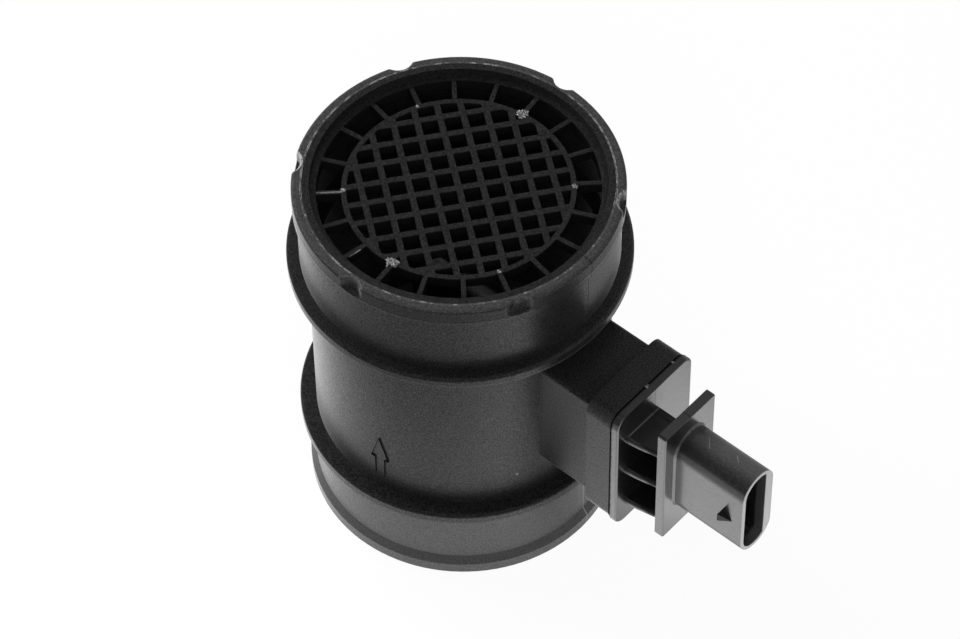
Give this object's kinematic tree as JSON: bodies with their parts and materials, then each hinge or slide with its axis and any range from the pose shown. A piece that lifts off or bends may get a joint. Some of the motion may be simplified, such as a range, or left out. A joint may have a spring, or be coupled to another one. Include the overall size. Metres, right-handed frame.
{
  "type": "mass airflow sensor",
  "caption": "black moulded flow tube with a grille at one end and a plug-in hot-film probe on its side, carrying a ribbed neck and a long oval connector socket",
  "frame": {"origin": "on the flow tube's axis, in the plane of its lower end face", "axes": "+Z along the tube's axis, towards the grille end; +X along the probe, towards the connector's mouth; +Y completes a right-handed frame"},
  "size_m": [0.1396, 0.0868, 0.1096],
  "materials": {
    "housing_plastic": "fine matte moulding grain",
    "grille_plastic": "fine matte moulding grain",
    "probe_plastic": "smooth, semi-gloss, worn on the shroud",
    "seal_rubber": "dull",
    "cover_plastic": "fine matte moulding grain",
    "plate_aluminium": "rolled",
    "board_ceramic": "matte white",
    "chip_plastic": "matte",
    "capacitor_ceramic": "satin",
    "carrier_plastic": "matte",
    "sensing_silicon": "polished",
    "wire_aluminium": "bright",
    "terminal_brass": "tinned",
    "bead_glass": "glossy",
    "lead_steel": "drawn wire"
  },
  "bodies": {
    "root": {"housing_tube": "housing_plastic", "grille_insert": "grille_plastic", "probe_body": "probe_plastic", "probe_seal": "seal_rubber", "electronics_cover": "cover_plastic", "channel_cover": "cover_plastic", "base_plate": "plate_aluminium", "circuit_board": "board_ceramic", "signal_chip": "chip_plastic", "capacitor_1": "capacitor_ceramic", "capacitor_2": "capacitor_ceramic", "capacitor_3": "capacitor_ceramic", "chip_carrier": "carrier_plastic", "sensing_chip": "sensing_silicon", "bond_wires": "wire_aluminium", "thermistor_bead": "bead_glass", "thermistor_leads": "lead_steel", "terminal_1": "terminal_brass", "terminal_2": "terminal_brass", "terminal_3": "terminal_brass", "terminal_4": "terminal_brass", "terminal_5": "terminal_brass"}
  },
  "joints": []
}
